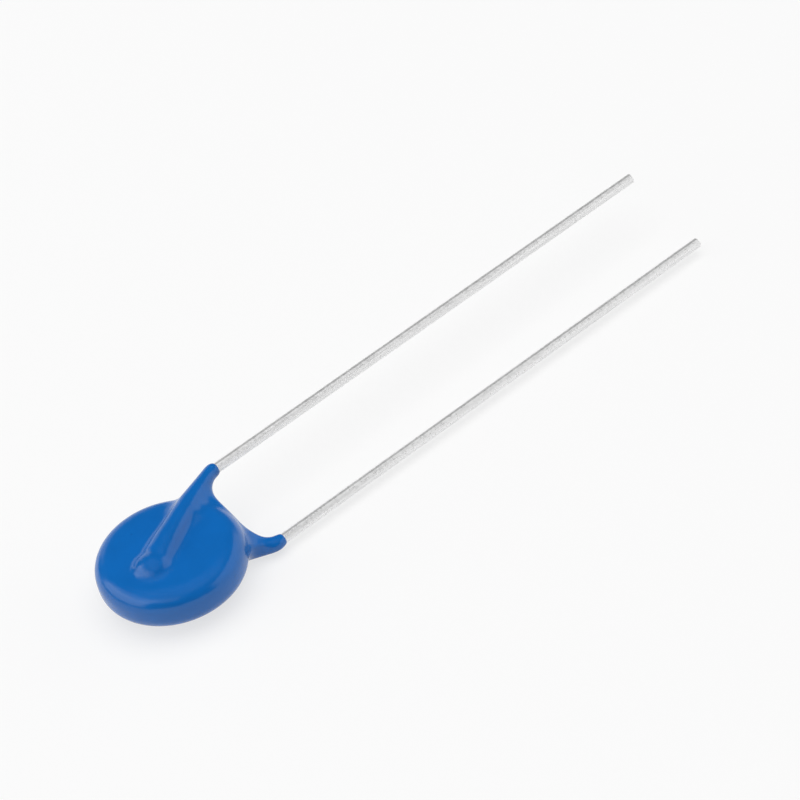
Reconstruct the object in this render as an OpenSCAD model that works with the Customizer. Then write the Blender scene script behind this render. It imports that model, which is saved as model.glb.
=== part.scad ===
// Disc varistor with two radial leads, lying flat on the lower wire's ridge.
// Millimetres. +X runs along the leads to their tips, +Z is the disc's axis.

/* [Ceramic disc] */
// Diameter of the ceramic disc
disc_d = 7; // [6:0.1:9]
// Thickness of the ceramic disc
disc_t = 1.8; // [1.2:0.1:2.6]
// Bevel on the pressed edges of the disc
disc_bevel = 0.1; // [0.05:0.01:0.2]

/* [Electrodes] */
// Bare ceramic left around each electrode
electrode_margin = 0.35; // [0.2:0.05:0.6]
// Thickness of the fired silver
electrode_t = 0.02; // [0.01:0.005:0.04]

/* [Leads] */
// Diameter of the tinned wire
wire_d = 0.6; // [0.5:0.05:0.8]
// Distance between the two leads, across the disc
pitch = 5; // [4:0.1:6]
// How far the pair of leads sits to one side of the disc's centre
pair_shift = 0.25; // [0:0.05:0.3]
// From each wire's inner end to the edge of its electrode
wire_inset = 0.95; // [0.9:0.05:1.5]
// From the coated rim to the line where the wires turn parallel
bend_out = 0.95; // [0.8:0.05:1.2]
// Radius of that turn, at the wire's centre
bend_r = 1; // [0.8:0.1:1.6]
// Bare wire beyond the coating
lead_free = 31.4; // [4:0.1:40]
// Bevel left by the cutter on each tip
tip_bevel = 0.08; // [0.02:0.01:0.1]

/* [Solder] */
// Film of solder between wire and electrode
solder_film = 0.05; // [0.03:0.01:0.1]
// Solder over the wire
solder_skin = 0.08; // [0.06:0.01:0.15]
// Thickness of the solder at its foot
solder_foot = 0.03; // [0.02:0.01:0.05]
// Radius of the hollow fillet beside the wire
solder_fillet = 0.45; // [0.3:0.05:0.6]

/* [Coating] */
// Epoxy over each face of the disc
face_coat = 0.40; // [0.3:0.01:0.6]
// Epoxy around the rim of the disc
rim_coat = 0.75; // [0.6:0.05:1]
// Share of the coated half thickness that is rounded at the rim
rim_share = 0.82; // [0.7:0.02:0.96]
// Epoxy over the wires on the disc
ridge_coat = 0.42; // [0.3:0.01:0.5]
// Radius of the hollow where a ridge meets the face
ridge_fillet = 0.5; // [0.3:0.05:0.8]
// Epoxy over the wires at the turn
turn_coat = 0.13; // [0.1:0.01:0.2]
// Epoxy over the wires where the coating ends
end_coat = 0.07; // [0.05:0.01:0.1]
// How far past the coated rim the coating climbs the top lead
climb_top = 1.45; // [1.4:0.05:2.5]
// How far past the coated rim it climbs the bottom lead
climb_bottom = 1.65; // [1.4:0.05:2.5]
// How far the web between the necks stands out from the coated rim
web_out = 0.3; // [0.1:0.05:0.5]
// Thickness of the web
web_t = 0.66; // [0.5:0.02:0.8]
// Radius of the web's hollow corners, at the centre of its rounded edge
web_turn = 1.7; // [1:0.1:2]

/* [Hidden] */
$fn = 48;

top = 1;
bottom = -1;
wire_r = wire_d / 2;
disc_r = disc_d / 2;
electrode_r = disc_r - electrode_margin;
electrode_z = disc_t / 2 + electrode_t;
coat_r = disc_r + rim_coat;
face_z = electrode_z + face_coat;
rim_r = rim_share * face_z;
rim_in = coat_r - rim_r;
rim_flat = face_z - rim_r;

// Height of each wire's centre from the disc's middle plane
wire_z = electrode_z + solder_film + wire_r;
// Both wires slant alike, and cross over and under the disc's middle
wire_past = electrode_r - wire_inset;
bend_x = coat_r + bend_out;
slant = atan2(pitch / 2, bend_x);
// Length of the turn's two tangents, and of the slant from the crossing point to the turn
ease = bend_r * tan(slant / 2);
slant_run = norm([bend_x, pitch / 2]) - ease;
straight_x = bend_x + ease;
// Round ends and turns are a hair larger than the runs between them, which reach into them
swell = 0.003;
lap = 0.05;

ridge_r = wire_r + ridge_coat;
turn_r = wire_r + turn_coat;
lip_r = wire_r + end_coat;
lip_round = 0.9 * end_coat;
// The ridge's side hollows meet the face at a shallow crease, not a tangent
foot_sink = 0.005;
// Along the slant, a little before the face falls away, where the ridge becomes a neck
neck_start = coat_r - 1.2 * face_z - pair_shift;

// The web lies in the tilted plane that holds both leads
web_tilt = atan2(2 * wire_z, pitch);
web_half = norm([pitch / 2, wire_z]);
web_edge_r = web_t / 2;
web_skin = 0.9 * web_t;
web_root = coat_r + web_out - web_edge_r;
web_sweep = 75;
web_end = web_root + web_turn * (1 - cos(web_sweep));
web_inner = coat_r - face_z;

// The part stands on z = 0 with its origin under the middle of its box
tip_max = coat_r + max(climb_top, climb_bottom) + lead_free;
box_mid = (tip_max - coat_r) / 2;
stand_z = wire_z + ridge_r + swell;

function coat_end(side) = coat_r + (side == top ? climb_top : climb_bottom);

// Carries a piece from the disc's middle to its place in the part
module in_place() {
    translate([-box_mid, 0, stand_z])
        children();
}

// Puts what is drawn for the upper face, lead to +Y, on one face or the other
module on_face(side) {
    turned = side == top ? 0 : 180;
    translate([0, pair_shift, 0])
        rotate([turned, 0, 0])
            children();
}

// How far the foot of a bump lies from its middle line
function reach(r, fillet, foot_z) = sqrt(pow(r + fillet, 2) - pow(foot_z + fillet - wire_z, 2));

// A bump's half outline over a wire: a round crown, and a hollow fillet down to its foot
module crown(r, fillet, foot_z, base_z) {
    side = reach(r, fillet, foot_z);
    meet = r / (r + fillet);
    meet_z = wire_z + (foot_z + fillet - wire_z) * meet;
    intersection() {
        union() {
            translate([0, wire_z])
                circle(r);
            difference() {
                polygon([[0, base_z], [side, base_z], [side, foot_z], [side * meet, meet_z], [0, meet_z]]);
                translate([side, foot_z + fillet])
                    circle(fillet);
            }
        }
        translate([0, base_z])
            square([side, wire_z + r - base_z]);
    }
}

// The same bump run along the slant from s0 to s1, with both ends turned round
module bump(s0, s1, r, fillet, foot_z, base_z) {
    rotate([0, 0, slant]) {
        translate([s0, 0, 0])
            rotate([90, 0, 90])
                linear_extrude(s1 - s0) {
                    crown(r, fillet, foot_z, base_z);
                    mirror([1, 0])
                        crown(r, fillet, foot_z, base_z);
                }
        for (s = [s0, s1])
            translate([s, 0, 0])
                rotate_extrude()
                    crown(r + swell, fillet, foot_z, base_z + swell);
    }
}

// The turn from slant to straight, as a bent rod of the given radius
module turn(r) {
    translate([straight_x, pitch / 2 - bend_r, 0])
        rotate([0, 0, 90])
            rotate_extrude(angle = slant)
                translate([bend_r, 0])
                    circle(r + swell);
}

// One wire, centred on its own height: slant, turn, straight run and bevelled tip
module wire(side) {
    run = coat_end(side) + lead_free - straight_x + lap;
    rotate([0, 0, slant])
        translate([-wire_past, 0, 0])
            rotate([0, 90, 0])
                cylinder(r = wire_r, h = wire_past + slant_run + lap);
    turn(wire_r);
    translate([straight_x - lap, pitch / 2, 0])
        rotate([0, 90, 0])
            rotate_extrude()
                polygon([[0, 0], [wire_r, 0], [wire_r, run - tip_bevel], [wire_r - tip_bevel, run], [0, run]]);
}

module wire_on(side) {
    on_face(side)
        translate([0, 0, wire_z])
            wire(side);
}

module ceramic() {
    rotate_extrude()
        polygon([[0, -disc_t / 2], [disc_r - disc_bevel, -disc_t / 2], [disc_r, disc_bevel - disc_t / 2],
                 [disc_r, disc_t / 2 - disc_bevel], [disc_r - disc_bevel, disc_t / 2], [0, disc_t / 2]]);
}

module electrode(side) {
    translate([0, 0, side == top ? disc_t / 2 : -electrode_z])
        cylinder(r = electrode_r, h = electrode_t);
}

// Solder mound over a wire, before the wire is taken out of it
module solder_mound(side) {
    r = wire_r + solder_skin;
    foot_z = electrode_z + solder_foot;
    clear = 0.05;
    far = electrode_r - reach(r, solder_fillet, foot_z) - pair_shift - clear;
    on_face(side)
        bump(wire_r / 2 - wire_past, far, r, solder_fillet, foot_z, electrode_z);
}

// Round-edged body of the coating
module coat_body() {
    rotate_extrude() {
        translate([0, -face_z])
            square([rim_in, 2 * face_z]);
        translate([rim_in, -rim_flat])
            square([rim_r, 2 * rim_flat]);
        for (m = [0, 1])
            mirror([0, m])
                intersection() {
                    translate([rim_in, rim_flat])
                        circle(rim_r);
                    translate([rim_in, rim_flat])
                        square([rim_r, rim_r]);
                }
    }
}

// Ridge over a wire, up to where the face starts to fall away
module coat_ridge(side) {
    on_face(side)
        bump(wire_r - wire_past, neck_start, ridge_r, ridge_fillet, face_z - foot_sink, face_z / 2);
}

// Neck down a wire: it thins along the slant, turns, and ends in a rounded lip on the straight run
module coat_neck(side) {
    run = coat_end(side) - straight_x + lap;
    on_face(side)
        translate([0, 0, wire_z]) {
            rotate([0, 0, slant])
                translate([neck_start - lap, 0, 0])
                    rotate([0, 90, 0])
                        cylinder(r1 = ridge_r - swell, r2 = turn_r, h = slant_run - neck_start + 2 * lap);
            turn(turn_r);
            translate([straight_x - lap, pitch / 2, 0])
                rotate([0, 90, 0])
                    rotate_extrude() {
                        polygon([[0, 0], [turn_r, 0], [turn_r, lap], [lip_r, run - lip_round],
                                 [lip_r - lip_round, run], [0, run]]);
                        translate([lip_r - lip_round, run - lip_round])
                            circle(lip_round);
                    }
        }
}

// Sheet of epoxy between the necks, in the tilted plane of the leads, with a rounded edge
module coat_web() {
    arc_y = web_half - web_turn * sin(web_sweep);
    inner_y = web_half * web_inner / bend_x;
    flank = atan2(web_half, bend_x);
    translate([0, pair_shift, 0])
        rotate([web_tilt, 0, 0]) {
            translate([0, 0, -web_skin / 2])
                linear_extrude(web_skin)
                    difference() {
                        polygon([[web_inner, -inner_y], [bend_x, -web_half], [web_end, -web_half],
                                 [web_end, web_half], [bend_x, web_half], [web_inner, inner_y]]);
                        translate([web_root, -arc_y])
                            square([web_turn, 2 * arc_y]);
                        for (m = [-1, 1])
                            translate([web_root + web_turn, m * arc_y])
                                circle(web_turn);
                    }
            for (m = [0, 1])
                mirror([0, m, 0]) {
                    translate([web_root + web_turn, arc_y, 0])
                        rotate([0, 0, 180 - web_sweep])
                            rotate_extrude(angle = web_sweep)
                                translate([web_turn, 0])
                                    circle(web_edge_r + swell);
                    translate([web_inner, inner_y, 0])
                        rotate([0, 90, flank])
                            cylinder(r = web_edge_r - swell, h = norm([bend_x - web_inner, web_half - inner_y]));
                }
            translate([web_root, -arc_y - lap, 0])
                rotate([-90, 0, 0])
                    cylinder(r = web_edge_r, h = 2 * (arc_y + lap));
        }
}

module ceramic_disc() {
    color("dimgray")
        in_place()
            ceramic();
}

module electrode_top() {
    color("silver")
        in_place()
            electrode(top);
}

module electrode_bottom() {
    color("silver")
        in_place()
            electrode(bottom);
}

module solder_top() {
    color("darkgray")
        in_place()
            difference() {
                solder_mound(top);
                wire_on(top);
            }
}

module solder_bottom() {
    color("darkgray")
        in_place()
            difference() {
                solder_mound(bottom);
                wire_on(bottom);
            }
}

module lead_top() {
    color("gainsboro")
        in_place()
            wire_on(top);
}

module lead_bottom() {
    color("gainsboro")
        in_place()
            wire_on(bottom);
}

module epoxy_coating() {
    color([0.1, 0.4, 0.7])
        in_place()
            difference() {
                union() {
                    coat_body();
                    coat_web();
                    for (side = [top, bottom]) {
                        coat_ridge(side);
                        coat_neck(side);
                    }
                }
                union() {
                    ceramic();
                    for (side = [top, bottom]) {
                        electrode(side);
                        solder_mound(side);
                        wire_on(side);
                    }
                }
            }
}

ceramic_disc();
electrode_top();
electrode_bottom();
solder_top();
solder_bottom();
lead_top();
lead_bottom();
epoxy_coating();
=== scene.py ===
# %% [markdown]
# # A disc varistor
# A small blue component with two bare wires. The exact model of it is loaded first, and stays
# as it is: the ceramic, its electrodes, the solder and the wires are all inside or under what
# is drawn here. What this lesson adds is the look: a dipped epoxy coat with the soft, fused
# shape that a liquid leaves, bright tinned wires with cut ends, and a finish for every part.

# %% Load the exact model
import math
import bpy
from mathutils import Matrix, Vector


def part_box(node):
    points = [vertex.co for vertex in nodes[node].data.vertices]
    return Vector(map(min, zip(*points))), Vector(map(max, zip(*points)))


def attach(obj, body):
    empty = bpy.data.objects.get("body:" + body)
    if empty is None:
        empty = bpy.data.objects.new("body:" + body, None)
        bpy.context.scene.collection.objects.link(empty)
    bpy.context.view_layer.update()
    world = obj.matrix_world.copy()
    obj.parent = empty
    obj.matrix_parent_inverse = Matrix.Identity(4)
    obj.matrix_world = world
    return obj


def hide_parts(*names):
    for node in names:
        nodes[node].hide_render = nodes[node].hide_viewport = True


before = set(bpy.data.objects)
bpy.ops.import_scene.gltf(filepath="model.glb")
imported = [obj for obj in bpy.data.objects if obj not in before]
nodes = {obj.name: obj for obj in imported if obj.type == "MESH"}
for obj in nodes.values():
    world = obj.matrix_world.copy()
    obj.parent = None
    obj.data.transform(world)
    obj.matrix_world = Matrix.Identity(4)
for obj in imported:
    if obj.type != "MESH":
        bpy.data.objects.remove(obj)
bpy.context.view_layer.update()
print("CAD nodes:", sorted(nodes))

# %% [markdown]
# ## Working in millimetres
# The part is about 42 mm long, so in metres its sizes are awkward numbers, and the slider of
# the Remesh modifier goes no finer than a tenth of a millimetre. So each piece is drawn a
# thousand times as large, one unit to the millimetre, and brought down to metres when it is
# finished. Places come from the exact model's own boxes.

# %% Disc, in millimetres
MM = 0.001
top, bottom = 1, -1
low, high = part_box("ceramic_disc")
disc_mid = (low + high) / 2 / MM
coat_r = 4.25
face_z = 1.27
rim_round = 1.07
print("disc middle", disc_mid[:])

# %% [markdown]
# The wires lie slantwise on the two faces, cross over and under the disc's middle, and turn
# parallel beyond the rim. All that follows a wire is placed by one helper, which takes a
# point as it is on the upper face and turns it over for the lower one.

# %% Wires, in millimetres
wire_r = 0.3
wire_z = 1.27
pitch = 5.0
pair_shift = 0.25
bend_x = coat_r + 0.95
bend_r = 1.0
slant = math.atan2(pitch / 2, bend_x)
ease = bend_r * math.tan(slant / 2)
slant_run = math.hypot(bend_x, pitch / 2) - ease
straight_x = bend_x + ease
lead_end = {top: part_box("lead_top")[1].x / MM, bottom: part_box("lead_bottom")[1].x / MM}
coat_end = {top: coat_r + 1.45, bottom: coat_r + 1.65}


def place(side, x, y, z):
    """A point given for the upper face, on one face or the other."""
    return disc_mid + Vector((x, pair_shift + side * y, side * z))


print("slant, degrees:", round(math.degrees(slant), 2), "straight from x =", round(straight_x, 3))

# %% [markdown]
# ## Camera
# The camera looks down at the disc from beside the wires, turned a little, through a long
# lens, so the wires stay almost parallel.

# %% Camera
view_azimuth, view_elevation, view_roll = (math.radians(a) for a in (-30.01, 40.39, -14.77))
view_distance = 195.3
aim = disc_mid + Vector((14.12, -4.13, 4.1))
back = Vector((math.sin(view_azimuth) * math.cos(view_elevation),
               -math.cos(view_azimuth) * math.cos(view_elevation), math.sin(view_elevation)))
level = Vector((math.cos(view_azimuth), math.sin(view_azimuth), 0))
upright = back.cross(level)
right = math.cos(view_roll) * level + math.sin(view_roll) * upright
up = back.cross(right)
turned = Matrix((right, up, back)).transposed().to_4x4()
camera = bpy.data.objects.new("camera", bpy.data.cameras.new("camera"))
bpy.context.scene.collection.objects.link(camera)
camera.matrix_world = Matrix.Translation((aim + view_distance * back) * MM) @ turned
camera.data.sensor_width = 36
camera.data.lens = 161.2
camera.data.clip_start, camera.data.clip_end = 0.005, 10
bpy.context.scene.camera = camera
print("camera at", [round(v, 4) for v in camera.location])

# %% [markdown]
# ## Tools of the bench
# An operator acts on all that is selected, so every step first says what it works on. These
# helpers select one object, or some of its faces or edges by a test, apply a modifier, join
# objects, and bring a finished piece down to metres with its place in its mesh.


# %% Selecting
def only(piece):
    """Leaves one object selected and active."""
    bpy.ops.object.select_all(action="DESELECT")
    piece.select_set(True)
    bpy.context.view_layer.objects.active = piece
    return piece


def pick(piece, kind, test):
    """Opens a piece in edit mode with only the faces or edges that pass the test selected."""
    only(piece)
    bpy.ops.object.mode_set(mode="EDIT")
    bpy.ops.mesh.select_mode(type=kind)
    bpy.ops.mesh.select_all(action="DESELECT")
    bpy.ops.object.mode_set(mode="OBJECT")
    for element in piece.data.polygons if kind == "FACE" else piece.data.edges:
        element.select = test(element)
    bpy.ops.object.mode_set(mode="EDIT")


# %% Finishing and joining
def finish_with(piece, kind, **values):
    """Adds one modifier with its values and applies it."""
    only(piece)
    modifier = piece.modifiers.new(kind.lower(), kind)
    for name, value in values.items():
        setattr(modifier, name, value)
    bpy.ops.object.modifier_apply(modifier=modifier.name)
    return piece


def fuse(name, pieces):
    """Joins several objects into one mesh."""
    bpy.ops.object.select_all(action="DESELECT")
    for piece in pieces:
        piece.select_set(True)
    bpy.context.view_layer.objects.active = pieces[0]
    bpy.ops.object.join()
    bpy.context.object.name = name
    return bpy.context.object


def to_metres(piece):
    """Brings a piece drawn in millimetres down to metres, with its place in its mesh."""
    only(piece)
    piece.matrix_world = Matrix.Scale(MM, 4) @ piece.matrix_world
    bpy.ops.object.transform_apply(location=True, rotation=True, scale=True)
    return piece


# %% [markdown]
# ## The coat's rough forms
# The real disc is dipped in liquid epoxy with its wires soldered on. The liquid rounds the
# rim, stands as a ridge over each wire, runs up both wires as necks and spans the corner
# between them. The coat could be pushed into shape by hand in sculpt mode, but plain forms
# with known sizes are easier to check: each is drawn on its own, and they are fused later.
# The disc is a cylinder whose two edges are rounded by a bevel that takes up most of its
# height, so only a narrow upright band is left round the middle.

# %% Disc
disc_sides, rim_steps = 128, 18
bpy.ops.object.select_all(action="DESELECT")
bpy.ops.mesh.primitive_cylinder_add(vertices=disc_sides, radius=coat_r, depth=2 * face_z, location=disc_mid)
disc = bpy.context.object
points = disc.data.vertices
pick(disc, "EDGE", lambda edge: abs(points[edge.vertices[0]].co.z - points[edge.vertices[1]].co.z) < 1e-6)
bpy.ops.mesh.bevel(offset=rim_round, segments=rim_steps, profile=0.5, affect="EDGES")
bpy.ops.object.mode_set(mode="OBJECT")
print("disc:", len(disc.data.polygons), "faces")

# %% [markdown]
# ## Rods along the wires
# A ridge, a neck and a wire all follow the same line: a slanted run over the disc, a bend,
# and a straight run. A curve with a bevel could follow it too, but it would have to become a
# mesh before its end could be shaped. So one helper draws a rod in edit mode: a circle is
# extruded from station to station, turned round the bend with Spin, and extruded again. A
# station says how far along it is, the radius there, the height of the rod's middle and how
# far it stands to the side of the wire.


# %% Stations
def along(side, where, height=wire_z, aside=0.0):
    """A point on the slanted run, over one face or the other."""
    return place(side, where * math.cos(slant) + aside * math.sin(slant),
                 where * math.sin(slant) - aside * math.cos(slant), height)


def pull(step, middle, size):
    """Extrudes the selected end by a step, and sizes the new end about its middle."""
    bpy.ops.mesh.extrude_region_move(TRANSFORM_OT_translate={"value": step})
    bpy.ops.transform.resize(value=(size, size, size), center_override=middle)


# %% Drawing a rod
def draw_rod(name, side, slanted, straight, around=48, bend_steps=10):
    """A rod of one wire: slanted stations are (where, radius, height, aside), straight (x, radius)."""
    bpy.ops.object.select_all(action="DESELECT")
    radius = slanted[0][1]
    middle = along(side, slanted[0][0], *slanted[0][2:])
    bpy.ops.mesh.primitive_circle_add(vertices=around, radius=radius, fill_type="NGON",
                                      location=middle, rotation=(0, math.pi / 2, side * slant))
    rod = bpy.context.object
    rod.name = name
    bpy.ops.object.transform_apply(location=True, rotation=True, scale=True)
    bpy.ops.object.mode_set(mode="EDIT")
    bpy.ops.mesh.select_all(action="SELECT")
    for where, next_radius, *offset in slanted[1:]:
        next_middle = along(side, where, *offset)
        pull(next_middle - middle, next_middle, next_radius / radius)
        middle, radius = next_middle, next_radius
    bpy.ops.mesh.spin(steps=bend_steps, angle=side * slant, axis=(0, 0, 1),
                      center=place(side, straight_x, pitch / 2 - bend_r, wire_z))
    middle = place(side, straight_x, pitch / 2, wire_z)
    for x, next_radius in straight:
        next_middle = place(side, x, pitch / 2, wire_z)
        pull(next_middle - middle, next_middle, next_radius / radius)
        middle, radius = next_middle, next_radius
    bpy.ops.mesh.select_all(action="SELECT")
    bpy.ops.mesh.remove_doubles(threshold=1e-5)
    bpy.ops.mesh.normals_make_consistent(inside=False)
    bpy.ops.object.mode_set(mode="OBJECT")
    return rod


# %% [markdown]
# ## Necks
# Towards the rim and beyond it the liquid clings to the wire as a neck. It narrows all the
# way, along the slant, round the bend, and to a thin lip that is a little larger than the
# wire. The lower neck stands a little nearer the disc's middle plane than its wire does.

# %% Necks
neck_start = 2.5
neck_mid = 0.5 * (neck_start + slant_run)
neck_mid_r = {top: 0.57, bottom: 0.50}
neck_mid_z = {top: wire_z, bottom: wire_z - 0.13}
turn_r = 0.43
lip_r = {top: 0.37, bottom: 0.355}
lip_edge_r = 0.315
neck_root = {top: [(2.2, 0.70, 1.27, 0.04), (3.3, 0.65, 1.26, 0.0)],
             bottom: [(2.2, 0.70, 1.27, 0.04), (3.3, 0.61, 1.20, 0.0)]}


def neck_rod(side, slanted):
    """A rod that ends as a neck does, in a rounded lip on its wire."""
    tip = coat_end[side]
    lip = [(tip - 0.14, lip_r[side]), (tip - 0.08, lip_r[side] - 0.02), (tip - 0.04, lip_edge_r)]
    middle = (neck_mid, neck_mid_r[side], neck_mid_z[side])
    return draw_rod("neck", side, [*slanted, middle, (slant_run, turn_r)], lip)


necks = [neck_rod(side, neck_root[side]) for side in (top, bottom)]
print("necks:", [len(n.data.polygons) for n in necks], "faces")

# %% [markdown]
# ## Ridges
# The liquid slumps beside the wire, so a ridge is wider than the wire and low. It is a rod
# that lies deep in the disc and runs on into the neck. At its other end it sags into a soft
# ramp, which is a cone with its upper edge rounded.

# %% Ridges
ridge_line = [(-1.65, 0.90, 0.90, 0.34), (-0.85, 0.98, 0.97, 0.17),
              (0.15, 0.90, 1.09, 0.12), (1.15, 0.76, 1.23, 0.09)]
ridges = [neck_rod(side, ridge_line + neck_root[side]) for side in (top, bottom)]
print("ridges:", [len(r.data.polygons) for r in ridges], "faces")

# %% Ramps at the ridges' ends
end_at, end_aside = -1.70, 0.19
end_foot, end_foot_z = 1.44, 0.95
end_top, end_top_z = 0.52, 1.96
end_round = 0.5


def ridge_end(side):
    """The soft ramp in which a ridge ends."""
    bpy.ops.object.select_all(action="DESELECT")
    bpy.ops.mesh.primitive_cone_add(vertices=64, radius1=end_foot, radius2=end_top, depth=end_top_z - end_foot_z,
                                    location=along(side, end_at, (end_top_z + end_foot_z) / 2, end_aside),
                                    rotation=(0 if side == top else math.pi, 0, 0))
    ramp = bpy.context.object
    bpy.ops.object.transform_apply(location=True, rotation=True, scale=True)
    upper = max(side * v.co.z for v in ramp.data.vertices) - 1e-4
    pick(ramp, "EDGE", lambda edge: all(side * ramp.data.vertices[v].co.z > upper for v in edge.vertices))
    bpy.ops.mesh.bevel(offset=end_round, segments=8, profile=0.5, affect="EDGES")
    bpy.ops.object.mode_set(mode="OBJECT")
    return ramp


ramps = [ridge_end(side) for side in (top, bottom)]
print("ramps:", [len(r.data.polygons) for r in ramps], "faces")

# %% [markdown]
# ## Web between the necks
# Liquid also hangs in the corner between the two necks, as a web that is thick at the disc
# and thin at its free edge. The edge runs almost straight beside the disc, a little further
# out towards the lower neck, and curls out along each neck. The web lies in the tilted plane
# that holds both wires, and arches a little above it.

# %% Free edge of the web
web_half = math.hypot(pitch / 2, wire_z)
web_mid = coat_r + 0.02
web_skew = 0.27
hollow_r = {top: 1.75, bottom: 2.0}
hollow_deep = {top: 0.64, bottom: 0.74}


def free_edge(across):
    """How far out the web's free edge stands, at a place across it."""
    near = top if across > 0 else bottom
    curl = hollow_r[near]
    over = max(0.0, abs(across) - (web_half - curl)) / curl
    curled = curl * hollow_deep[near] * (1 - math.sqrt(max(0.0, 1 - over * over)))
    return web_mid + web_skew * ((1 - across / web_half) / 2) ** 2 + curled


print("free edge:", [round(free_edge(share * web_half), 2) for share in (-1, -0.5, 0, 0.5, 1)])

# %% [markdown]
# The web starts as a flat grid whose outer side is moved to the free edge's curve. A vertex
# group holds how thick each point is, and Solidify reads it.

# %% Web
web_inner = 2.75
web_inner_t, web_edge_t, web_taper = 2.5, 0.5, 1.2
web_arch = 0.5
web_overlap = 0.02
bpy.ops.object.select_all(action="DESELECT")
bpy.ops.mesh.primitive_grid_add(x_subdivisions=24, y_subdivisions=64, size=2)
web = bpy.context.object
thick = web.vertex_groups.new(name="thick")
for vertex in web.data.vertices:
    out, across = (vertex.co.x + 1) / 2, vertex.co.y * web_half
    x = web_inner + out * (free_edge(across) - web_inner)
    arch = web_arch * out * (1 - (across / web_half) ** 2)
    vertex.co = (x, across * min(1.0, x / bend_x + web_overlap), arch)
    share = web_edge_t / web_inner_t + (1 - web_edge_t / web_inner_t) * (1 - out) ** web_taper
    thick.add([vertex.index], share, "REPLACE")
finish_with(web, "SOLIDIFY", thickness=web_inner_t, offset=0, vertex_group="thick")
web.rotation_euler.x = math.atan2(2 * wire_z, pitch)
web.location = disc_mid + Vector((0, pair_shift, 0))
only(web)
bpy.ops.object.transform_apply(location=True, rotation=True, scale=True)
print("web:", len(web.data.polygons), "faces")

# %% [markdown]
# ## Fusing the forms as a liquid would
# A remesh turns overlapping forms into one skin. Growing it, remeshing and shrinking it back
# by the same distance fills every inside corner with a round fillet and leaves the outside
# shape as it was, which is what surface tension does to a wet coat. The necks and the web
# flow into the rim in wide fillets, and the ridges meet the face in narrower ones, so this is
# done twice.


# %% Melting
def melt(piece, fillet, cell):
    """Makes one skin of the piece, with fillets of one radius in its inside corners."""
    finish_with(piece, "REMESH", mode="VOXEL", voxel_size=cell)
    finish_with(piece, "DISPLACE", strength=fillet, mid_level=0)
    finish_with(piece, "REMESH", mode="VOXEL", voxel_size=cell)
    finish_with(piece, "SMOOTH", factor=0.5, iterations=6)
    finish_with(piece, "DISPLACE", strength=-fillet, mid_level=0)
    finish_with(piece, "REMESH", mode="VOXEL", voxel_size=cell)
    return piece


coat = melt(fuse("epoxy_skin", [disc, web, *necks]), fillet=0.8, cell=0.08)
finish_with(coat, "SMOOTH", factor=0.5, iterations=6)
print("rim, web and necks:", len(coat.data.polygons), "faces")

# %% Second melt, with the ridges
coat = melt(fuse("epoxy_skin", [coat, *ridges, *ramps]), fillet=0.35, cell=0.065)
finish_with(coat, "SMOOTH", factor=0.5, iterations=8)
print("whole coat:", len(coat.data.polygons), "faces")
only(coat)
bpy.ops.object.shade_smooth()
to_metres(coat)
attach(coat, "root")
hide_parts("epoxy_coating")

# %% [markdown]
# ## Wires
# The exact wires are right in size, but their cut ends are plain. New ones are drawn on the
# same line by the same helper, so that their ends can be shaped and given a finish of their
# own. Cutters squeeze the end of a wire a little before it parts, so its edge is rounded and
# its face not quite square.

# %% Shaping a cut end
cut_tilt = math.radians(7)
tilt_room = 0.04
cut_rings = [(0.035, 0), (0.05, -0.012), (0.08, 0.006)]


def cut_end(wire, side):
    """Tilts the wire's last face, and gives it the raised rim and the dent of a sheared cut."""
    tip = place(side, lead_end[side] - disc_mid.x, pitch / 2, wire_z)
    pick(wire, "FACE", lambda face: face.center.x > tip.x - tilt_room - 0.001 and face.normal.x > 0.9)
    hinge = tip - Vector((0.03, 0, 0))
    bpy.ops.transform.rotate(value=side * cut_tilt, orient_axis="Z", center_override=hinge)
    for width, depth in cut_rings:
        bpy.ops.mesh.inset(thickness=width, depth=depth)
    bpy.ops.object.mode_set(mode="OBJECT")


# %% Drawing a wire
exact_reach = 2.2
wire_start = 0.33 - exact_reach


def draw_wire(side):
    """One wire, from its inner end, which stays inside the ridge, to its cut tip."""
    tip = lead_end[side] - disc_mid.x
    slanted = [(wire_start, wire_r - 0.04), (wire_start + 0.03, wire_r), (0, wire_r), (slant_run, wire_r)]
    straight = [(tip - 0.1, wire_r), (tip - 0.06, wire_r - 0.004), (tip - tilt_room, wire_r - 0.016)]
    wire = draw_rod("wire_" + ("upper" if side == top else "lower"), side, slanted, straight, bend_steps=12)
    cut_end(wire, side)
    only(wire)
    bpy.ops.object.shade_smooth_by_angle(angle=math.radians(35))
    to_metres(wire)
    return wire


# %% Both wires
wires = {side: draw_wire(side) for side in (top, bottom)}
for side, node in ((top, "lead_top"), (bottom, "lead_bottom")):
    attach(wires[side], "root")
    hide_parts(node)
    tip = max(v.co.x for v in wires[side].data.vertices) / MM
    print(wires[side].name, len(wires[side].data.polygons), "faces, tip at", round(tip, 3))

# %% [markdown]
# ## Finishes
# No finish here is one flat colour. What the finishes share is made once, as a node group
# with named inputs: an uneven surface, a slow drift of the colour, scattered specks, and the
# fine lines that a drawing die leaves along a wire. Each material gives them its own values.


# %% Placing nodes
def feed(tree, socket, value):
    """Gives a socket a value, or a link from the socket that feeds it."""
    if isinstance(value, bpy.types.NodeSocket):
        tree.links.new(value, socket)
    else:
        socket.default_value = value


def node(tree, kind, settings=None, **inputs):
    """Adds a shader node; inputs are values or the sockets that feed them."""
    made = tree.nodes.new("ShaderNode" + kind)
    for key, value in (settings or {}).items():
        setattr(made, key, value)
    for key, value in inputs.items():
        feed(tree, made.inputs[key.replace("_", " ")], value)
    return made


def use(tree, group, **inputs):
    """Places a node group in a tree, with its own values."""
    made = node(tree, "Group", {"node_tree": group}, **inputs)
    return made.outputs


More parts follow.
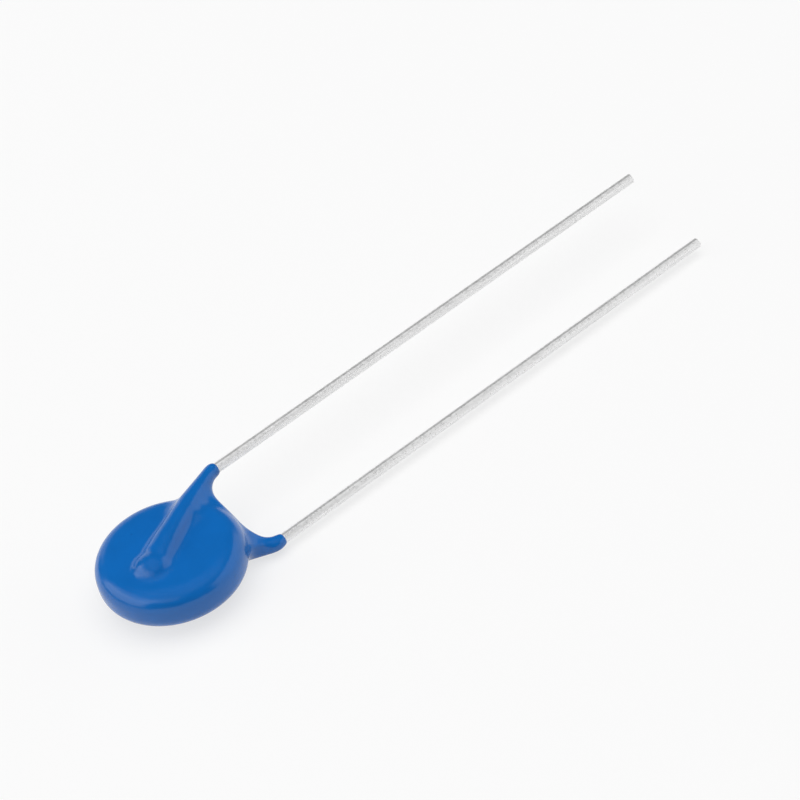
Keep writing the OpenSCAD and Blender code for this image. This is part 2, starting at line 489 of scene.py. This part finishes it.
# %% Sums, steps and noise
def maths(tree, operation, *values):
    """A Math node on two or three values."""
    made = node(tree, "Math", {"operation": operation})
    for socket, value in zip(made.inputs, values):
        feed(tree, socket, value)
    return made.outputs[0]


def ramp(tree, value, low, high, to_low=0.0, to_high=1.0):
    """A smooth step of a value from one range to another."""
    made = node(tree, "MapRange", {"interpolation_type": "SMOOTHSTEP"}, Value=value,
                From_Min=low, From_Max=high, To_Min=to_low, To_Max=to_high)
    return made.outputs["Result"]


def noise(tree, where, scale, detail=2.0, roughness=0.5):
    """Plain noise at one scale."""
    made = node(tree, "TexNoise", None, Vector=where, Scale=scale, Detail=detail, Roughness=roughness)
    return made.outputs["Fac"]


def new_group(name, inputs, outputs):
    """An empty node group; inputs are (name, kind, value), outputs (name, kind)."""
    group = bpy.data.node_groups.new(name, "ShaderNodeTree")
    for label, kind, value in inputs:
        group.interface.new_socket(label, in_out="INPUT", socket_type="NodeSocket" + kind).default_value = value
    for label, kind in outputs:
        group.interface.new_socket(label, in_out="OUTPUT", socket_type="NodeSocket" + kind)
    return group, group.nodes.new("NodeGroupInput").outputs, group.nodes.new("NodeGroupOutput").inputs


# %% Uneven surface
uneven, given, result = new_group("uneven_surface",
                                  [("Vector", "Vector", (0, 0, 0)), ("Broad Scale", "Float", 900.0),
                                   ("Fine Scale", "Float", 6000.0), ("Fine Share", "Float", 0.3)],
                                  [("Height", "Float")])
broad = noise(uneven, given["Vector"], given["Broad Scale"], detail=1.0)
fine = noise(uneven, given["Vector"], given["Fine Scale"], detail=3.0)
height = maths(uneven, "ADD", broad, maths(uneven, "MULTIPLY", fine, given["Fine Share"]))
uneven.links.new(height, result["Height"])

# %% Colour drift
drift, given, result = new_group("colour_drift",
                                 [("Vector", "Vector", (0, 0, 0)), ("Colour", "Color", (1, 1, 1, 1)),
                                  ("Scale", "Float", 500.0), ("Amount", "Float", 0.1)],
                                 [("Colour", "Color")])
tone = ramp(drift, noise(drift, given["Vector"], given["Scale"], detail=4.0, roughness=0.6), 0.25, 0.75)
strength = maths(drift, "MULTIPLY_ADD", maths(drift, "SUBTRACT", tone, 0.5), given["Amount"], 1.0)
scaled = node(drift, "VectorMath", {"operation": "SCALE"}, Vector=given["Colour"], Scale=strength)
drift.links.new(scaled.outputs["Vector"], result["Colour"])

# %% Specks
specks, given, result = new_group("specks",
                                  [("Vector", "Vector", (0, 0, 0)), ("Scale", "Float", 1500.0),
                                   ("Size", "Float", 0.15), ("Amount", "Float", 0.2)],
                                  [("Mask", "Float")])
cells = node(specks, "TexVoronoi", None, Vector=given["Vector"], Scale=given["Scale"])
chance = node(specks, "SeparateColor", None, Color=cells.outputs["Color"]).outputs["Red"]
chosen = maths(specks, "LESS_THAN", chance, given["Amount"])
dot = maths(specks, "SUBTRACT", 1.0, maths(specks, "DIVIDE", cells.outputs["Distance"], given["Size"]))
specks.links.new(maths(specks, "MULTIPLY", chosen, maths(specks, "MAXIMUM", dot, 0.0)), result["Mask"])

# %% Drawn lines
lines, given, result = new_group("drawn_lines",
                                 [("Vector", "Vector", (0, 0, 0)), ("Across Scale", "Float", 9000.0),
                                  ("Stretch", "Float", 0.04)],
                                 [("Mask", "Float")])
apart = node(lines, "SeparateXYZ", None, Vector=given["Vector"]).outputs
drawn = node(lines, "CombineXYZ", None, X=maths(lines, "MULTIPLY", apart["X"], given["Stretch"]),
             Y=apart["Y"], Z=apart["Z"]).outputs["Vector"]
streaks = noise(lines, drawn, given["Across Scale"], detail=3.0, roughness=0.65)
lines.links.new(ramp(lines, streaks, 0.3, 0.7), result["Mask"])
print("node groups:", [g.name for g in bpy.data.node_groups])

# %% [markdown]
# ## Materials
# Every material starts the same way: a Principled shader and the place on the piece. The
# bump's distance is in metres, so it is tiny on a part of this size.


# %% Starting a material
def start_material(name, **uniform):
    """A new material: its tree, its shader and the place on the piece; uniform values go on the shader."""
    material = bpy.data.materials.new(name)
    material.use_nodes = True
    tree = material.node_tree
    shader = tree.nodes["Principled BSDF"]
    for key, value in uniform.items():
        shader.inputs[key.replace("_", " ")].default_value = value
    return material, tree, shader, tree.nodes.new("ShaderNodeTexCoord").outputs["Object"]


def relief(tree, shader, height, depth):
    """Turns a height, whose full range is so many millimetres deep, into the shader's normal."""
    bump = node(tree, "Bump", None, Height=height, Distance=depth * MM, Strength=1.0)
    tree.links.new(bump.outputs["Normal"], shader.inputs["Normal"])


# %% [markdown]
# ### Epoxy
# Cured dipping epoxy is opaque and glossy. It keeps a faint orange peel, its tone drifts a
# little from place to place, and a few small pits are left in it. Nodes on the piece's own
# coordinates are used for all three, because a picture would have to be wrapped round it.

# %% Epoxy
epoxy_blue, pit_blue = (0.0025, 0.125, 0.44, 1), (0.002, 0.06, 0.24, 1)
epoxy, tree, shader, here = start_material("blue_epoxy", IOR=1.5)
tone = use(tree, drift, Vector=here, Colour=epoxy_blue, Scale=420.0, Amount=0.10)["Colour"]
pits = use(tree, specks, Vector=here, Scale=1100.0, Size=0.11, Amount=0.16)["Mask"]
half_pits = maths(tree, "MULTIPLY", pits, 0.5)
mix = node(tree, "Mix", {"data_type": "RGBA"}, Factor=half_pits, A=tone, B=pit_blue)
tree.links.new(mix.outputs["Result"], shader.inputs["Base Color"])
haze = noise(tree, here, 2600.0, detail=3.0)
tree.links.new(maths(tree, "MULTIPLY_ADD", haze, 0.12, 0.15), shader.inputs["Roughness"])
peel = use(tree, uneven, Vector=here, Broad_Scale=1500.0, Fine_Scale=7000.0, Fine_Share=0.16)["Height"]
relief(tree, shader, maths(tree, "SUBTRACT", peel, half_pits), 0.012)
coat.data.materials.clear()
coat.data.materials.append(epoxy)
print("blue epoxy:", len(tree.nodes), "nodes")

# %% [markdown]
# ### Tinned wire
# Tin on a drawn wire is bright but not a mirror: it shows lines along the wire, patches that
# are duller and small dents. A darker line along its upper side is painted shade: the colour
# is darkened where the surface faces straight up. A full metal would be nearly black on top
# here, because it would have only the dim room above to mirror, so this one is partly metallic.

# %% Tinned wire's colour
tin, tree, shader, here = start_material("tinned_wire")
streak = use(tree, lines, Vector=here, Across_Scale=8000.0, Stretch=0.03)["Mask"]
patch = ramp(tree, noise(tree, here, 5200.0, detail=3.0, roughness=0.6), 0.35, 0.65)
geometry = tree.nodes.new("ShaderNodeNewGeometry").outputs
facing = node(tree, "SeparateXYZ", None, Vector=geometry["Normal"]).outputs["Z"]
# Painted shade: the tin's colour is darkened along the wire's upper side, where the surface faces straight up;
# the drawn lines darken it a little too.
painted_top_shade = ramp(tree, facing, 0.95, 0.995)
lines_and_painted_shade = maths(tree, "ADD", maths(tree, "MULTIPLY", painted_top_shade, 0.34), maths(tree, "MULTIPLY", streak, 0.07))
shade = maths(tree, "SUBTRACT", 1.0, maths(tree, "MULTIPLY_ADD", patch, 0.02, lines_and_painted_shade))
tone = use(tree, drift, Vector=here, Colour=(0.97, 0.97, 0.97, 1), Scale=3200.0, Amount=0.05)["Colour"]
shaded = node(tree, "VectorMath", {"operation": "SCALE"}, Vector=tone, Scale=shade)
tree.links.new(shaded.outputs["Vector"], shader.inputs["Base Color"])

# %% Tinned wire's gloss and relief
tree.links.new(maths(tree, "MULTIPLY_ADD", patch, 0.12, 0.32), shader.inputs["Metallic"])
rough = maths(tree, "MULTIPLY_ADD", patch, -0.1, 0.32)
tree.links.new(maths(tree, "ADD", maths(tree, "MULTIPLY", streak, 0.12), rough), shader.inputs["Roughness"])
body = use(tree, uneven, Vector=here, Broad_Scale=2500.0, Fine_Scale=12000.0, Fine_Share=0.3)["Height"]
dents = use(tree, specks, Vector=here, Scale=2600.0, Size=0.3, Amount=0.25)["Mask"]
scored = maths(tree, "MULTIPLY_ADD", streak, -0.4, body)
relief(tree, shader, maths(tree, "SUBTRACT", scored, maths(tree, "MULTIPLY", dents, 0.5)), 0.012)
print("tinned wire:", len(tree.nodes), "nodes")

# %% [markdown]
# The cut face has no tin. It is bare metal, duller, and scored across by the cutter. It is a
# second material on the same wire, on the faces at its tip.

# %% Cut end
sheared, tree, shader, here = start_material("sheared_end", Metallic=0.9)
tone = use(tree, drift, Vector=here, Colour=(0.50, 0.49, 0.47, 1), Scale=9000.0, Amount=0.4)["Colour"]
tree.links.new(tone, shader.inputs["Base Color"])
crosswise = node(tree, "Mapping", None, Vector=here, Rotation=(0, 0, math.pi / 2)).outputs["Vector"]
scores = use(tree, lines, Vector=crosswise, Across_Scale=16000.0, Stretch=0.1)["Mask"]
tree.links.new(maths(tree, "MULTIPLY_ADD", scores, 0.15, 0.35), shader.inputs["Roughness"])
relief(tree, shader, scores, 0.01)
for side, wire in wires.items():
    wire.data.materials.clear()
    wire.data.materials.append(tin)
    wire.data.materials.append(sheared)
    for face in wire.data.polygons:
        face.material_index = int(face.normal.x > 0.8 and face.center.x > (lead_end[side] - 0.06) * MM)
    print(wire.name, sum(face.material_index for face in wire.data.polygons), "faces cut")

# %% [markdown]
# ### Ceramic, silver and solder
# These parts are inside the coat. They show only if it is taken off, but each is finished:
# sintered zinc oxide is a dark, matt grain, fired silver is pale and a little rough, and
# solder is smooth with soft ripples. The exact wires, which the new ones stand in for, get a
# plain metal. One helper makes all four, because only the values differ.


# %% Inner finishes
def inner_finish(name, on, colour, metallic, rough, grain_scale, grain, depth):
    """A finish of drifted colour and grain, for the exact model's nodes that it is on."""
    material, tree, shader, here = start_material(name, Metallic=metallic)
    tone = use(tree, drift, Vector=here, Colour=(*colour, 1), Scale=grain_scale / 2, Amount=0.35)["Colour"]
    tree.links.new(tone, shader.inputs["Base Color"])
    height = use(tree, uneven, Vector=here, Broad_Scale=grain_scale / 4, Fine_Scale=grain_scale,
                 Fine_Share=grain)["Height"]
    spots = use(tree, specks, Vector=here, Scale=grain_scale, Size=0.35, Amount=0.4)["Mask"]
    tree.links.new(maths(tree, "MULTIPLY_ADD", spots, 0.2, rough), shader.inputs["Roughness"])
    relief(tree, shader, maths(tree, "SUBTRACT", height, maths(tree, "MULTIPLY", spots, grain)), depth)
    for exact in on:
        for held in nodes[exact].material_slots:
            held.material = material


inner_finish("sintered_oxide", ["ceramic_disc"], colour=(0.055, 0.055, 0.06), metallic=0.0, rough=0.6,
             grain_scale=9000.0, grain=0.8, depth=0.01)
inner_finish("fired_silver", ["electrode_top", "electrode_bottom"], colour=(0.72, 0.70, 0.66), metallic=0.85,
             rough=0.35, grain_scale=7000.0, grain=0.5, depth=0.006)
inner_finish("soft_solder", ["solder_top", "solder_bottom"], colour=(0.58, 0.58, 0.59), metallic=0.95,
             rough=0.22, grain_scale=2500.0, grain=0.15, depth=0.02)
inner_finish("wire_core", ["lead_top", "lead_bottom"], colour=(0.7, 0.7, 0.7), metallic=0.9,
             rough=0.3, grain_scale=5000.0, grain=0.3, depth=0.01)
print("materials:", sorted(m.name for m in bpy.data.materials if m.users))

# %% [markdown]
# ## Studio
# The part lies on a white sweep, which is a wide flat sheet here. It is lit as paper is, and
# holds the part's soft shadow, but seven tenths of what the camera and reflections see of it
# is plain white.

# %% White sweep
paper_white, plain_share = 0.8, 0.7
bpy.ops.object.select_all(action="DESELECT")
bpy.ops.mesh.primitive_circle_add(vertices=128, radius=1.6, fill_type="NGON")
floor = bpy.context.object
floor.name = "floor"
paper = bpy.data.materials.new("white_sweep")
paper.use_nodes = True
tree = paper.node_tree
tree.nodes.clear()
seen = tree.nodes.new("ShaderNodeLightPath").outputs
mirrored = maths(tree, "MAXIMUM", seen["Is Glossy Ray"], seen["Is Transmission Ray"])
shown = maths(tree, "MAXIMUM", seen["Is Camera Ray"], mirrored)
matt = node(tree, "BsdfDiffuse", None, Color=(paper_white, paper_white, paper_white, 1)).outputs["BSDF"]
white = node(tree, "Emission", None, Strength=1.0).outputs["Emission"]
blended = tree.nodes.new("ShaderNodeMixShader")
for socket, value in zip(blended.inputs, (maths(tree, "MULTIPLY", shown, plain_share), matt, white)):
    feed(tree, socket, value)
output = tree.nodes.new("ShaderNodeOutputMaterial")
tree.links.new(blended.outputs["Shader"], output.inputs["Surface"])
floor.data.materials.append(paper)
print("sweep shows", plain_share, "plain white")

# %% Faint light of the room
room_light = 0.06
world = bpy.data.worlds.new("studio")
bpy.context.scene.world = world
world.use_nodes = True
background = world.node_tree.nodes["Background"]
background.inputs["Color"].default_value = (1, 1, 1, 1)
background.inputs["Strength"].default_value = room_light
print("room light:", room_light)

# %% [markdown]
# ## Lamps
# Five softboxes stand round the part, and each draws its own highlights on the gloss. Three on
# the left light the near edge of the rim and the ridge's end. One beyond the disc draws thin
# lines along the far sides of the ridge and the rim. One on the right draws the broad band
# along the ridge's near side, and those on the rim, the web, the necks and the wires.


# %% Softboxes
def softbox(name, azimuth, elevation, distance, wide, tall, radiance):
    """A rectangular lamp that faces the part; azimuth is from +X towards +Y, in degrees."""
    lamp = bpy.data.lights.new(name, "AREA")
    lamp.shape = "RECTANGLE"
    lamp.size, lamp.size_y = wide, tall
    lamp.energy = radiance * math.pi * wide * tall
    a, e = math.radians(azimuth), math.radians(elevation)
    way = Vector((math.cos(a) * math.cos(e), math.sin(a) * math.cos(e), math.sin(e)))
    holder = bpy.data.objects.new(name, lamp)
    bpy.context.scene.collection.objects.link(holder)
    holder.location = disc_mid * MM + way * distance
    holder.rotation_euler = way.to_track_quat("Z", "Y").to_euler()


softbox("left_box", azimuth=155, elevation=24, distance=0.5, wide=0.68, tall=0.28, radiance=1.4)
softbox("left_top", azimuth=160, elevation=45, distance=0.5, wide=0.6, tall=0.2, radiance=0.7)
softbox("left_wing", azimuth=-152, elevation=44, distance=0.5, wide=0.4, tall=0.18, radiance=0.6)
softbox("far_box", azimuth=80, elevation=12, distance=0.6, wide=0.3, tall=0.26, radiance=0.55)
softbox("right_box", azimuth=-25, elevation=19, distance=0.5, wide=0.9, tall=0.34, radiance=0.85)

# %% [markdown]
# The light that fills the faces comes from above as a very soft sun, which is kept out of
# reflections so that the face stays a clean blue.

# %% Overhead light
face_light, softness = 0.76, math.radians(70)
sun = bpy.data.lights.new("overhead", "SUN")
sun.energy = face_light * math.pi
sun.angle = softness
overhead = bpy.data.objects.new("overhead", sun)
bpy.context.scene.collection.objects.link(overhead)
overhead.rotation_euler = (math.radians(4), 0, math.radians(40))
overhead.visible_glossy = False
bpy.context.scene.view_settings.view_transform = "Standard"
